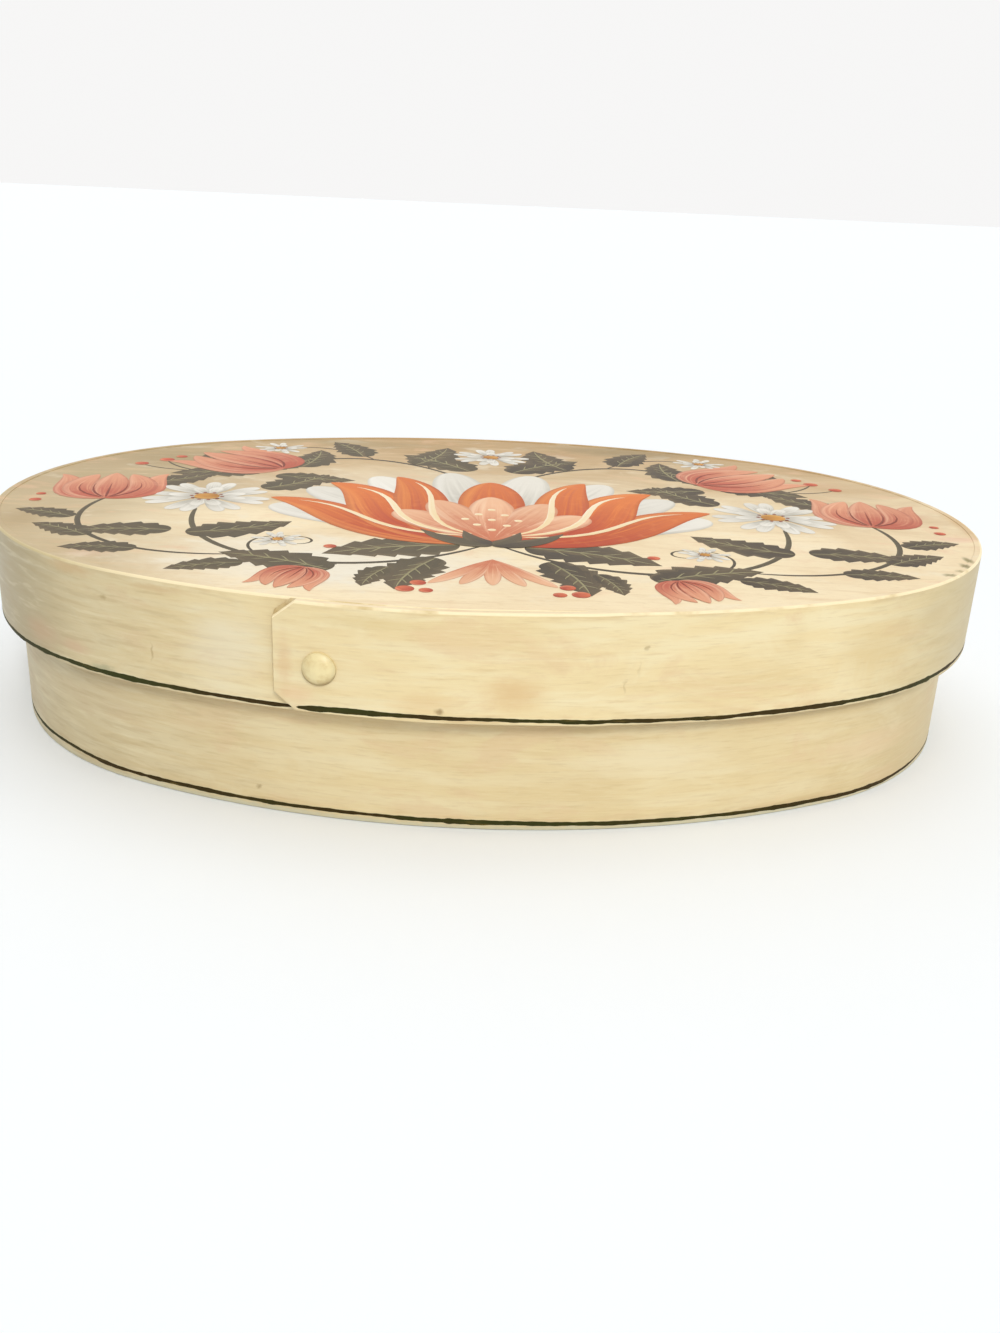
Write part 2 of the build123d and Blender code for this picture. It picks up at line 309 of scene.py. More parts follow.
def lapped_strip(inset, bottom, height, top_round, low_round, inner_round,
                 uneven=((0, 0), (1, 0)), turned=1):
    """The bent and lapped strip of wood as one closed sheet.

    Rows follow the strip from the outer ply's end to the feather under it, close together at
    that end and along the lap. Columns go round its section: up the outer face, over the top
    edge, down the inner face and under, with quarter circles at the four corners. The outer
    ply's end is rounded and loses two slanted corners: the edge height falls off in a straight
    line over the cut, less on the inner face. The lower edge rises and sinks by `uneven`:
    distances along the strip and rises between which it goes straight. UV holds the distance
    along the strip and the height, in metres. The materials are the outer face's, the inner
    face's, the pared ends', the upper outer corner's and the upper edge's.
    """
    total = round_the_oval(inset) + lap_feather * drawn_in(inset)
    distance = np.unique(np.concatenate([
        np.linspace(0, 0.6, 7), np.linspace(0.6, 9, 29), np.linspace(9, 130, 70),
        np.linspace(130, total, int((total - 130) / 2.2))]))
    outer, inner = strip_faces(inset, distance)
    end_round = 0.5 - np.sqrt(np.clip(0.25 - np.clip(0.5 - distance, 0, 0.5) ** 2, 0, 1))
    outer = outer - paint_set_back - end_round
    cut = cut_height * (1 - distance / cut_length)
    cut_outer, cut_inner = np.clip(cut, 0, None), np.clip(cut - cut_slant, 0, None)

    # Each part of the section: its side, outer or inner, its share of the height, how far its
    # corner's round draws it in, and how far that lifts it
    low, high = np.radians(np.linspace(-90, 0, 6)), np.radians(np.linspace(0, 90, 8))
    rise, fall = np.linspace(0, 1, 16)[1:-1], np.linspace(1, 0, 10)[1:-1]
    section = [
        (1, 0, low_round * (np.cos(low) - 1), low_round * (1 + np.sin(low))),
        (1, rise, 0, low_round * (1 - rise) - top_round * rise),
        (1, 1, top_round * (np.cos(high) - 1), top_round * (np.sin(high) - 1)),
        (0, 1, inner_round * (1 - np.sin(high)), inner_round * (np.cos(high) - 1)),
        (0, fall, 0, low_round * (1 - fall) - inner_round * fall),
        (0, 0, low_round * (1 - np.sin(low + pi / 2)), low_round * (1 - np.cos(low + pi / 2))),
        (1, 0, low_round * (np.cos(low[:1]) - 1), low_round * (1 + np.sin(low[:1]))),
    ]
    side, up, pull, lift = np.concatenate([np.stack(np.broadcast_arrays(*p)) for p in section], 1)
    stand = inner[:, None] + side * (outer - inner)[:, None] + pull
    cut_here = cut_inner[:, None] + side * (cut_outer - cut_inner)[:, None]
    wavy = np.interp(distance, *np.array(uneven).T)[:, None]
    level = bottom + cut_here + up * (height - 2 * cut_here) + lift + wavy * (1 - up)
    edge, outwards = oval_edge(inset, distance + lap_start * drawn_in(inset))
    flat = (edge[:, None] + stand[..., None] * outwards[:, None]) * turned
    grid = np.concatenate([flat, level[..., None]], -1)

    # The two ends are closed towards the section's middle
    middle = np.broadcast_to(grid[:, :-1].mean(1, keepdims=True), grid.shape)
    grid = np.concatenate([middle[:1], grid, middle[-1:]])
    distance = np.concatenate([distance[:1], distance, distance[-1:]])[:, None]
    uv = np.stack(np.broadcast_arrays(distance, grid[..., 2]), -1) * MM
    column = np.arange(len(side) - 1)
    part = np.repeat(np.arange(len(section)), [np.size(p[3]) for p in section])
    corner = (part[:-1] == 2) & (part[1:] == 2)
    edge_top = part[1:] == 3
    under = (column < 3) | (column >= len(side) - 3)
    pared = (edge_top | under) & (distance[:-1] < cut_length - 0.3) | (distance[:-1] < 0.2)
    bare = (part[:-1] >= 3) & ~under
    return grid, uv, np.select([pared, corner, edge_top, bare], [2, 3, 4, 1])


def marked(colour, where, rough, mark):
    """The colour with one mark over it: an ellipse whose outline the rough value, from 0 to 1,
    draws in. A mark is its place, two half sizes, in millimetres, its strength and its colour."""
    x, y, long, tall, strength, code = mark
    centred = step("VectorMath", {0: where, 1: (x * MM, y * MM, 0)}, operation="SUBTRACT")
    sized = step("VectorMath", {0: centred, 1: (1 / (long * MM), 1 / (tall * MM), 0)},
                 operation="MULTIPLY")
    reach = times(rough, 0.9, step("VectorMath", {0: sized}, out=1, operation="LENGTH"))
    return glazed(colour, [(reach, 1.4, 0.55, strength, code)])


def streaked_paint(name, inset, top, line_height, colours, marks, end_shade, turned=1):
    """Thin cream paint, brushed along the grain of the strip.

    Fine short streaks and broader ones follow the strip, patches of pale, tan and peach cloud
    them, and the paint is rubbed near the upper edge and near the dark line. Three shares of
    painted shade make it greyer: towards the box's left end, towards its right end, and again at
    the left end, where long scuffs show too. A mark is a distance to the right of the middle of
    the front, a height, two half sizes, a strength and a colour. A turned strip starts half a
    round away.
    """
    cream, pale, tan, peach, worn = colours
    material, tree = fresh_material(name)
    where = step("UVMap", {}, tree=tree, uv_map="surface")
    height = parts(where)[1]
    broad = cloudy(where, (18, 170, 1), 4, 0.6, 0.3)
    fine = cloudy(where, (95, 1050, 1), 4, 0.65)
    brushed = cloudy(where, (42, 330, 1), 4, 0.6, 0.2)
    patch = cloudy(where, (21, 44, 1), 5, 0.65, 0.9)
    cloud = cloudy(where, (7, 13, 1), 4, 0.6, 0.5)
    grit = cloudy(where, (420, 420, 1), 3, 0.6)
    scuffed = cloudy(where, (46, 380, 1), 3, 0.55, 0.3)
    across = times(brushed, 0.02, parts(step("TexCoord", {}, "Object", tree))[0])
    scuff = times(rising(across, -0.02, -0.12), 0.24)
    rub = rising(cloudy(where, (26, 90, 1), 4, 0.65), 0.45, 0.62)
    rub_top, rub_line = (times(rub, share) for share in (0.45, 0.5))
    colour = glazed(shade(cream), [
        (broad, 0.42, 0.66, 0.8, pale), (cloud, 0.46, 0.66, 0.6, tan),
        (patch, 0.52, 0.66, 0.6, peach), (patch, 0.46, 0.34, 0.45, pale),
        (brushed, 0.52, 0.7, 0.34, tan), (fine, 0.5, 0.72, 0.3, worn),
        (fine, 0.47, 0.3, 0.36, pale),
        (height, (top - 3.0) * MM, (top - 0.9) * MM, rub_top, worn),
        (height, (line_height + 3.2) * MM, (line_height + 0.4) * MM, rub_line, worn),
        (height, (line_height - 0.2) * MM, (line_height - 0.9) * MM, 0.5, "D8C9A0"),
        # Painted shade: the next three coats grey the paint towards the box's left and right ends
        (across, -0.03, -0.19, end_shade[0], "B5A886"), (across, 0.115, 0.21, end_shade[1], "B5A374"),
        (across, -0.128, -0.16, end_shade[2], "A3926A"),
        (scuffed, 0.5, 0.66, scuff, "A98E5E"), (scuffed, 0.47, 0.31, scuff, "F0E4C0")])
    shake = step("TexNoise", {"Vector": where, "Scale": 380.0, "Detail": 2.0}, out=1)
    moved = step("VectorMath", {0: shake, 1: (0.003, 0.002, 0), 2: (-0.0015, -0.001, 0)},
                 operation="MULTIPLY_ADD")
    shaken = step("VectorMath", {0: where, 1: moved}, operation="ADD")
    whole = round_the_oval(inset)
    strip_start = lap_start * drawn_in(inset) - (whole / 2 if turned < 0 else 0)
    for from_middle, mark_height, long, *rest in marks:
        mark = ((from_middle - strip_start) % whole, mark_height, long, *rest)
        colour = marked(colour, shaken, brushed if long > 3 else grit, mark)
    relief = times(brushed, 0.6, times(fine, 0.7))
    finish_coat(colour, times(patch, 0.24, 0.3), relief, 0.0001, 0.4)
    return material


def rubbed_and_highlit_edge(name, light, dark, grain, low, high, left_end_shade=0.0):
    """Thin paint rubbed on an edge: two colours, clouded by a noise between two levels; in pale
    colours it makes a painted highlight on the edge. At the box's left end a share of painted
    shade dulls it."""
    material, tree = fresh_material(name)
    where = step("TexCoord", {}, "Object", tree)
    rub = cloudy(where, (grain, grain, grain), 4, 0.6)
    grit = cloudy(where, (600, 600, 600), 3, 0.6)
    across = times(rub, 0.03, parts(where)[0])
    # The second coat is painted shade that dulls the edge at the box's left end
    colour = glazed(shade(light), [
        (rub, low, high, 1.0, dark), (across, -0.09, -0.15, left_end_shade, "B9A774")])
    finish_coat(colour, 0.42, grit, 0.00006, 0.4)
    return material


base_paint = streaked_paint(
    "base_cream_paint", base_inset, top=base_band_height, line_height=2.8,
    colours=("E6D1A0", "EBDBB1", "D8BF8D", "E2C69A", "C9AD7C"),
    marks=[(-79, 8, 1.6, 1.2, 0.6, "9A7F52"), (60, 26, 40, 10, 0.4, "F0E1BC"),
           (-140, 30, 30, 12, 0.3, "CBB68F"), (150, 20, 30, 9, 0.4, "E7C9A2"),
           # The broad tan band at 42 mm high is painted shadow under the lid's overhang
           (40, 42, 400, 8, 0.4, "BE9C62"), (40, 0, 520, 2.6, 0.75, "CBC8AE")],
    # Shares of painted shade towards the box's left and right ends
    end_shade=(0.62, 0.42, 0.0), turned=-1,
)
band_inside = bare_wood("bare_band_wood", "E2C9A0", "D4B585", "B08B58", "UV", (0.7, 1.6, 1.0))
pared_wood = rubbed_and_highlit_edge("pared_strip_end", "D2BA88", "B99B68", 500.0, 0.4, 0.7)
rubbed_wood = rubbed_and_highlit_edge("rubbed_base_edge", "DCC592", "C2A271", 90.0, 0.4, 0.62)
base_side = make_piece(
    "base_side_band",
    [lapped_strip(base_inset, 0.0, base_band_height, top_round=0.5, low_round=0.4,
                  inner_round=0.4, turned=-1)],
    [base_paint, band_inside, pared_wood, rubbed_wood, rubbed_wood],
)
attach(base_side, "base")
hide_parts("base_band")

# Base button: a turned button with a low dome, whose shank goes through both plies of the lap and
# is glued there. It is painted with the band, so its head has the band's cream, and painted shade
# darkens it round its foot, further up on the lower half.

head_radius, rim_height, dome_height = 5.75, 0.5, 2.4
shank_radius, shank_end = 3.5, -6.36
button_from_end = 15.5
base_button_height = 21.0


def turned_button(inset, height, turned=1):
    """The button as one closed sheet, spun about the way outwards from the ply.

    Rows follow half of its section: down the dome, a sphere's cap, round the rim, in under
    the head, along the shank and to the middle of its end. Each row is a circle, and those of
    the head are a little out of round by waves of two and three turns. UV holds the turn and
    the distance from the dome's top along the section, in metres.
    """
    dome_radius = (head_radius ** 2 + dome_height ** 2) / (2 * dome_height)
    tilt = np.arcsin(head_radius / dome_radius) * np.linspace(0, 0.93, 16)
    dome_rise = rim_height + dome_height - dome_radius * (1 - np.cos(tilt))
    rim = [(head_radius - 0.13, rim_height + 0.28), (head_radius - 0.01, rim_height),
           (head_radius, rim_height / 2), (head_radius - 0.03, 0.0)]
    shank = [(head_radius - 0.45, -0.12), (shank_radius + 0.1, -0.12), (shank_radius, -0.3),
             (shank_radius, shank_end + 0.26), (shank_radius - 0.2, shank_end + 0.04),
             (0.0, shank_end)]
    section = np.concatenate([np.stack([dome_radius * np.sin(tilt), dome_rise], -1), rim, shank])
    turn = np.linspace(0, 2 * pi, 73)
    uneven = 0.010 * np.sin(2 * turn + 0.8) + 0.007 * np.sin(3 * turn + 2.0)
    head = (np.arange(len(section)) < len(section) - len(shank))[:, None]
    radius = section[:, :1] * (1 + head * uneven - 0.012 * head)
    out = section[:, 1:] * (1 - 0.02 * np.cos(turn - 1) * head) - paint_set_back
    edge, outwards = oval_edge(inset, (lap_start + button_from_end) * drawn_in(inset))
    sideways = np.array([-outwards[1], outwards[0]])
    flat = edge + (ply_rise + out)[..., None] * outwards
    flat = flat + (radius * np.cos(turn))[..., None] * sideways
    level = height + radius * np.sin(turn)
    run = np.concatenate([[0], np.cumsum(np.hypot(*np.diff(section, axis=0).T))])
    uv = np.stack(np.broadcast_arrays(turn / (2 * pi), run[:, None] * MM), -1)
    return np.concatenate([flat * turned, level[..., None]], -1), uv, False


def button_paint(name, cream, worn, foot_shade):
    """The band's cream on a turned head: rubbed lighter on the dome, with painted shade in the
    foot that reaches further up the lower half."""
    material, tree = fresh_material(name)
    place = step("TexCoord", {}, "Object", tree)
    spread = cloudy(place, (190, 190, 190), 4, 0.6)
    grit = cloudy(place, (700, 700, 900), 3, 0.6)
    turn, run, _ = parts(step("UVMap", {}, tree=tree, uv_map="surface"))
    # Painted shade: the dark in the foot reaches further up on the lower half of the head
    reach = times(sums("SINE", times(turn, 2 * pi)), -0.0013, run)
    reach = times(spread, 0.0012, reach)
    colour = glazed(shade(cream), [
        (spread, 0.45, 0.7, 1.0, worn), (reach, 0.0042, 0.0078, 0.3, foot_shade),
        (reach, 0.0064, 0.0078, 0.6, foot_shade)])
    finish_coat(colour, 0.38, grit, 0.00008, 0.45)
    return material


base_button = make_piece(
    "base_lap_button", [turned_button(base_inset, base_button_height, turned=-1)],
    [button_paint("base_button_paint", "E8D5A2", "DAC28E", "84683A")],
)
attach(base_button, "base")
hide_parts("base_button")

# Base pegs: ten small square pegs, whittled to a taper and driven through the band into the edge
# of the board. Their ends are cut flush and the paint covers them.

peg_wood = bare_wood("bare_peg_wood", "D9B988", "C7A06C", "9E7644")
nodes["base_pegs"].data.materials.clear()
nodes["base_pegs"].data.materials.append(peg_wood)

# The base's painted line: dark green-black, drawn freehand with a thin brush just above the lower
# edge of the base, so that its width and height wander and the paint stands a little proud.


def brushed_line(inset, height, width, start, end, seed, course, turned=1):
    """The line as a thin closed lens of paint along the strip.

    Its middle height and its width are the given values plus sums of sine waves with seeded
    phases, from long to short, and its width swells in places where the brush was loaded.
    The course gives a further rise and a share of the width at distances along the strip,
    with straight lines between them. Columns go round the lens's section, an ellipse that
    stands 0.045 mm over the strip and reaches as far into it.
    """
    draw = np.random.default_rng(seed)
    distance = np.linspace(start, end, int((end - start) / 0.9))
    lengths = np.array([310.0, 120.0, 57.0, 23.0, 9.0, 4.1])
    phase = draw.uniform(0, 2 * pi, (3, len(lengths)))
    waves = np.sin(2 * pi * distance[:, None, None] / lengths + phase)
    wander = (waves[:, 0] * [0.22, 0.16, 0.1, 0.05, 0.03, 0.0]).sum(1)
    swell = (waves[:, 1] * [0.10, 0.12, 0.10, 0.08, 0.06, 0.05]).sum(1)
    loaded = np.clip((waves[:, 2] * [0.2, 0.3, 0.4, 0.4, 0.3, 0.1]).sum(1) - 0.7, 0, 1)
    stations, rises, shares = np.array(course).T
    wander = wander + np.interp(distance, stations, rises)
    half = width / 2 * np.clip(1 + swell + 0.9 * loaded, 0.4, 1.9)
    half = half * np.interp(distance, stations, shares)
    half = half * np.clip(np.minimum(distance - start, end - distance) / 6, 0, 1) ** 0.5
    turn = np.linspace(0, 2 * pi, 13)
    thick = 0.045 * (half > 1e-6)[:, None]
    stand = (strip_faces(inset, distance)[0] - paint_set_back)[:, None] + thick * np.cos(turn)
    level = height + wander[:, None] + half[:, None] * np.sin(turn)
    edge, outwards = oval_edge(inset, distance + lap_start * drawn_in(inset))
    flat = (edge[:, None] + stand[..., None] * outwards[:, None]) * turned
    uv = np.stack(np.broadcast_arrays(distance[:, None], level), -1) * MM
    return np.concatenate([flat, level[..., None]], -1), uv, False


def line_paint(name):
    """Dark green-black paint, browner and thinner where the brush ran dry."""
    material, tree = fresh_material(name)
    where = step("UVMap", {}, tree=tree, uv_map="surface")
    thin = cloudy(where, (60, 900, 1), 4, 0.6)
    hue = cloudy(where, (14, 60, 1), 3, 0.5)
    colour = glazed(shade("382A08"), [
        (hue, 0.42, 0.62, 1.0, "33350E"), (thin, 0.56, 0.76, 0.7, "74602C")])
    finish_coat(colour, 0.6, thin, 0.00005, 0.15)
    return material


dark_line = line_paint("green_black_line")
base_course = [
    (334, 0, 0.9), (429, 0.8, 0.9), (448, 0, 1.4), (468, 0, 0.65), (492, 0.1, 1.2), (524, 0.2, 0.9),
    (564, -0.4, 1.3), (634, -0.8, 0.95), (669, -1.3, 1), (734, -1.2, 1), (774, -0.9, 0.8),
    (856, 0, 0.9)]
base_line = make_piece(
    "base_painted_line",
    [brushed_line(base_inset, height=3.1, width=1.45, start=7.0,
                  end=round_the_oval(base_inset) + 6.0, seed=11, course=base_course, turned=-1)],
    [dark_line], crease=80,
)
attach(base_line, "base")

# Lid board: the flat oval board that closes the lid, let in a little below its band's upper edge.
# Its top is painted cream, clouded with tan and olive and scumbled with white, as the ground of
# the painting. The paint closes its joint with the band. Its underside is bare.

lid_board_bottom, lid_board_thickness = 75.2, 5.5


def clouded_ground(name, marks):
    """The painted ground: cream, darker and more tan towards the back and the left end, with
    clouds, smears along the box, fine brush marks, and single marks as on the bands."""
    material, tree = fresh_material(name)
    where = step("TexCoord", {}, "Object", tree)
    across, deep, _ = parts(where)
    cloud = cloudy(where, (11, 17, 1), 5, 0.62, 0.8)
    small = cloudy(where, (48, 75, 1), 4, 0.6, 0.4)
    smear = cloudy(where, (28, 210, 1), 4, 0.6, 0.4)
    bristle = cloudy(where, (240, 900, 1), 3, 0.6)
    back, left = times(cloud, 0.2, deep), times(cloud, -0.12, across)
    colour = glazed(shade("F4E1BA"), [
        (cloud, 0.38, 0.66, 1.0, "ECD5AC"), (back, 0.04, 0.235, 0.9, "AE8A54"),
        (left, -0.13, -0.23, 0.8, "B29C72"), (smear, 0.5, 0.68, 0.35, "D9BC8E"),
        (small, 0.54, 0.72, 0.4, "E8BF9B"), (small, 0.44, 0.3, 0.4, "EFE3C6")])
    for mark in marks:
        colour = marked(colour, where, small, mark)
    colour = glazed(colour, [(bristle, 0.5, 0.75, 0.22, "C3A574")])
    finish_coat(colour, times(small, 0.2, 0.36), times(bristle, 1, small), 0.00009, 0.25)
    return material


lid_ground = clouded_ground(
    "clouded_cream_ground",
    [(-55, -92, 92, 46, 0.75, "ECE6D6"), (-20, 20, 130, 60, 0.35, "EADFC8"),
     (188, -30, 16, 7, 0.5, "E3B294"), (178, 6, 14, 8, 0.45, "DFA98C"),
     (-140, -92, 14, 8, 0.4, "DDB79A"), (150, 60, 26, 12, 0.4, "DDB088"),
     (66, 122, 60, 20, 0.7, "8F7A4C"), (30, 108, 40, 9, 0.4, "B98F62"),
     (104, 100, 26, 9, 0.35, "A08C60"), (-70, 118, 60, 14, 0.6, "9E8858"),
     (-176, 24, 16, 30, 0.4, "AE9A6C"), (-178, -50, 16, 24, 0.6, "A88E60"),
     (-140, 70, 60, 34, 0.5, "97804F"), (150, 50, 50, 30, 0.45, "B7935F"),
     (180, -61, 2.1, 7.0, 0.9, "857A44"), (175.8, -69.4, 2.3, 5.6, 0.9, "7E733E"),
     (171, -76.6, 2.2, 3.6, 0.6, "94874F"), (165.6, -82, 3.2, 3.4, 0.8, "877B4A"),
     (150, -62, 12, 15, 0.45, "CDB885"), (120, -50, 30, 12, 0.4, "F3E4C4"),
     (199, -18, 7, 62, 0.75, "CDA873")],
)
lid_top_board = make_piece(
    "lid_top_board",
    [board_sheet(band_thickness - paint_set_back, lid_board_bottom, lid_board_thickness,
                 edge_round=0.02)],
    [board_wood, lid_ground],
)
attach(lid_top_board, "lid")
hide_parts("lid_board")

# Painting, stems and leaves: the lid is decorated by hand in a common folk manner. From one great
# open flower, sprays of scrolling stems run to left and right alike. Stems are single strokes of
# a soft taupe-green, and each leaf is two strokes that meet at its rib, with pale veins.

lid_ground_level = lid_board_bottom + lid_board_thickness
leaf_bend, leaf_width, leaf_teeth = 0.08, 0.25, 0.34


def stroke(start, first, second, end, width, swell, level=0.0, teeth=0.0):
    """One brush stroke: a cubic curve through the flat, as four complex numbers, with its half
    width, or those to the left and right, where it swells, its layer and how toothed it is."""
    left, right = width if isinstance(width, tuple) else (width, width)
    return (start, first, second, end, left, right, *swell, teeth, level)


def toward(heading):
    """A step of one unit in a heading, in degrees, as a complex number."""
    return np.exp(1j * radians(heading))


def placed(strokes, spot, heading, size):
    """Strokes drawn about the origin and along +X, moved to a spot, turned and enlarged."""
    way = size * toward(heading)
    return [(*(complex(*spot) + way * point for point in s[:4]), s[4] * size, s[5] * size, *s[6:])
            for s in strokes]


def scattered(strokes, places):
    """Copies of the same strokes, each at a spot, in a heading and at a size."""
    return [s for place in places for s in placed(strokes, *place)]


def flipped(strokes, way=1):
    """The mirror images of strokes across the X axis, or where way is -1, the Y axis."""
    return [(*(way * np.conj(point) for point in s[:4]), s[5], s[4], *s[6:]) for s in strokes]


def both_sides(strokes, way=-1):
    """Strokes, each followed by its mirror image, across the lid's middle unless way is 1."""
    return [s for pair in zip(strokes, flipped(strokes, way)) for s in pair]


def painted(name, strokes, material, crown, stations):
    """Strokes of paint as closed lenses that lie on the lid's ground.

    Along a stroke, s from 0 to 1, the middle follows its cubic curve and the width is the given
    one times s**a * (1 - s)**b over its highest value, roughened by its teeth, a sawtooth in
    s. Across it, the section is half an ellipse above its layer and a shallower one below.
    UV holds s plus twice the stroke's number, and the share of the way across.
    """
    table = np.array([s[:4] for s in strokes])
    left, right, a, b, teeth, level = np.array([s[4:] for s in strokes]).T[:, :, None]
    s = (1 - np.cos(np.linspace(0, pi, stations))) / 2
    middle = table @ np.stack([(1 - s) ** 3, 3 * s * (1 - s) ** 2, 3 * s ** 2 * (1 - s), s ** 3])
    tangent = np.gradient(middle, axis=1)
    across = 1j * tangent / np.abs(tangent)
    peak = a / (a + b)
    width = s ** a * (1 - s) ** b / (peak ** a * (1 - peak) ** b)
    width = (width * (1 + teeth * (0.5 - (6 * s % 1))))[..., None]
    turn = np.linspace(0, 2 * pi, 9)
    share = (1 + np.cos(turn)) / 2
    side = -right[..., None] * width * (1 - share) + left[..., None] * width * share
    flat = middle[..., None] + across[..., None] * side
    thick = np.where(np.sin(turn) > 0, crown, 0.02) * np.sin(turn)
    inside = ((s > 0) & (s < 1))[:, None]
    height = lid_ground_level + level[..., None] + thick * inside
    grid = np.stack([flat.real, flat.imag, np.broadcast_to(height, flat.shape)], -1)
    number = 2.0 * np.arange(len(strokes))[:, None, None]
    uv = np.stack(np.broadcast_arrays(number + s[:, None], share + 0 * number), -1)
    piece = make_piece(name, [(g, u, 0) for g, u in zip(grid, uv)], [material], crease=70)
    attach(piece, "lid")


def brushed_colour(name, root, tip, loaded, edge, edging, other=None):
    """Paint laid in one stroke: from the root's colour to the tip's, with the marks of the
    bristles along it, a lighter load on one side of the brush and a darker edge. Where `other`
    is given, every second stroke has that root."""
    material, tree = fresh_material(name)
    place, across, _ = parts(step("UVMap", {}, tree=tree, uv_map="surface"))
    along = sums("MODULO", place, 2.0)
    number = sums("FLOOR", times(place, 0.5))
    lucky = step("TexWhiteNoise", {"W": number}, noise_dimensions="1D")
    spot = step("CombineXYZ", {0: along, 1: across, 2: number})
    bristle = cloudy(spot, (1.6, 11, 3.7), 4, 0.6, 0.2)
    blot = cloudy(step("TexCoord", {}, "Object", tree), (150, 150, 1), 3, 0.55)
    stray = times(bristle, 1, -0.5)
    reach = times(stray, 0.9, along)
    load = times(stray, 0.7, across)
    rim = sums("ABSOLUTE", times(across, 2, -1))
    colour = shade(root)
    if other:
        colour = mixed(sums("MODULO", number, 2.0), colour, shade(other))
    colour = glazed(colour, [
        (reach, 0.12, 0.92, 1.0, tip), (load, 0.62, 1.0, 0.7, loaded),
        (bristle, 0.56, 0.72, 0.4, loaded), (rim, 0.72, 1.0, edging, edge)])
    colour = mixed(times(lucky, 0.22), colour, shade(edge))
    colour = glazed(colour, [(blot, 0.5, 0.75, 0.18, loaded)])
    finish_coat(colour, times(bristle, 0.2, 0.38), bristle, 0.00006, 0.12)
    return material


def leaf():
    """A leaf one unit long: its two halves, left and right of the rib."""
    rib = (0, 0.33 + 1j * leaf_bend, 0.67 + 1j * leaf_bend, 1)
    return [stroke(*rib, width, (0.55, 0.95), 0.02, leaf_teeth)
            for width in ((leaf_width, 0), (0, leaf_width))]


def leaf_veins():
    """The rib and four slanting veins on each side of a leaf, as fine lines."""
    rib = (0, 0.33 + 1j * leaf_bend, 0.67 + 1j * leaf_bend, 0.97)
    lines = [stroke(*rib, 0.011, (0.3, 0.6), 0.06)]
    for share in (0.2, 0.38, 0.55, 0.7):
        foot = share + 3j * leaf_bend * share * (1 - share)
        for side in (1, -1):
            tip = foot + (0.13 + 0.09j * side) * (1.25 - 0.5 * share)
            bend = foot + 0.05 + 0.02j * side
            lines.append(stroke(foot, bend, tip - 0.04, tip, 0.007, (0.3, 0.7), 0.06))
    return lines


leaf_places = [
    ((20, -84), -72, 40), ((56, -103), 22, 44), ((86, -98), -24, 27), ((114, -62), 150, 42),
    ((126, -86), -3, 27), ((161, -46), 20, 26), ((120, -60), -8, 36), ((152, 12), 138, 38),
    ((98, 12), 128, 40), ((36, 72), 108, 46), ((62, 86), 62, 38), ((82, 80), -62, 38),
    ((104, 44), -14, 40), ((88, 58), 96, 40), ((10, 62), 44, 46), ((12, -66), -20, 52),
    ((36, -97), -72, 24), ((96, 40), 190, 36), ((58, -98), -52, 24), ((148, -71), 30, 28),
    ((126, 46), 72, 34),
]
stems = [
    stroke(4 - 66j, 46 - 118j, 116 - 96j, 118 - 26j, 1.3, (0.25, 0.2)),
    stroke(90 - 88j, 140 - 98j, 170 - 54j, 157 - 14j, 1.1, (0.3, 0.2)),
    stroke(14 + 46j, 42 + 92j, 88 + 92j, 96 + 50j, 1.2, (0.25, 0.2)),
    stroke(56 + 80j, 66 + 98j, 84 + 110j, 100 + 100j, 0.8, (0.3, 0.3)),
    stroke(54 - 96j, 60 - 98j, 63 - 100j, 64 - 104j, 0.8, (0.3, 0.3)),
    stroke(104 + 40j, 128 + 34j, 144 + 46j, 150 + 60j, 0.7, (0.3, 0.3)),
    stroke(134 + 42j, 142 + 42j, 152 + 44j, 158 + 50j, 0.6, (0.3, 0.3)),
    stroke(70 - 96j, 96 - 84j, 92 - 60j, 74 - 62j, 0.6, (0.2, 0.5)),
    stroke(74 - 62j, 64 - 62j, 64 - 74j, 74 - 72j, 0.5, (0.4, 0.5)),
]
calyx = placed([stroke(0, 0.02 + t * 0.16j, 0.1 + t * 0.3j, 0.3 + t * 0.42j, 0.07, (0.5, 0.9), 0.2)
                for t in (-1, -0.4, 0.4, 1)], (0, -65), 90, 66)
leaves = both_sides(scattered(leaf(), leaf_places)) + calyx
veins = both_sides(scattered(leaf_veins(), leaf_places))
stem_paint = brushed_colour("stem_taupe_green", "493F30", "5A5039", "756A4C", "382F23", 0.3)
leaf_paint = brushed_colour("leaf_taupe_green", "493E2F", "63553F", "7C6C4F", "382F23", 0.35,
                            other="574D37")
vein_paint = brushed_colour("vein_pale_olive", "8C8460", "A0976F", "B0A880", "7C7552", 0.1)
painted("painted_stems", both_sides(stems), stem_paint, 0.025, 41)
painted("painted_leaves", leaves, leaf_paint, 0.03, 43)
painted("painted_leaf_veins", veins, vein_paint, 0.015, 9)

# Painting, flowers: the great open flower, tulips, daisies, berries and a small fan, laid petal
# by petal in salmon, coral, orange-red and grey-white, the back petals first. Fine lines and dots
# go on last.


def daisy(petals):
    """A daisy of radius one: long petals round about and eight shorter ones over them."""
    rows = []
    for count, first, last, width, level in ((petals, 0.2, 1.0, 0.125, 0.07),
                                             (8, 0.1, 0.62, 0.12, 0.11)):
        for k in range(count):
            way = np.exp(2j * pi * (k + 0.3 * (k % 2)) / count)
            curve = (first, 0.45 * last + 0.05j, 0.75 * last - 0.04j, last)
            rows.append(stroke(*(way * point for point in curve), width, (0.8, 0.45),
                               level + 0.01 * (k % 2)))
    return rows


def disc(radius, level):
    """A round dab of paint, as one stroke from side to side."""
    return [stroke(-radius, -radius / 3, radius / 3, radius, radius, (0.5, 0.5), level)]


def ring_of_dots(size):
    """Ten dots in a ring about a daisy's middle."""
    ring = 0.24 * np.exp(2j * pi * np.arange(10) / 10)
    return scattered(disc(size, 0.18), [((spot.real, spot.imag), 0, 1) for spot in ring])


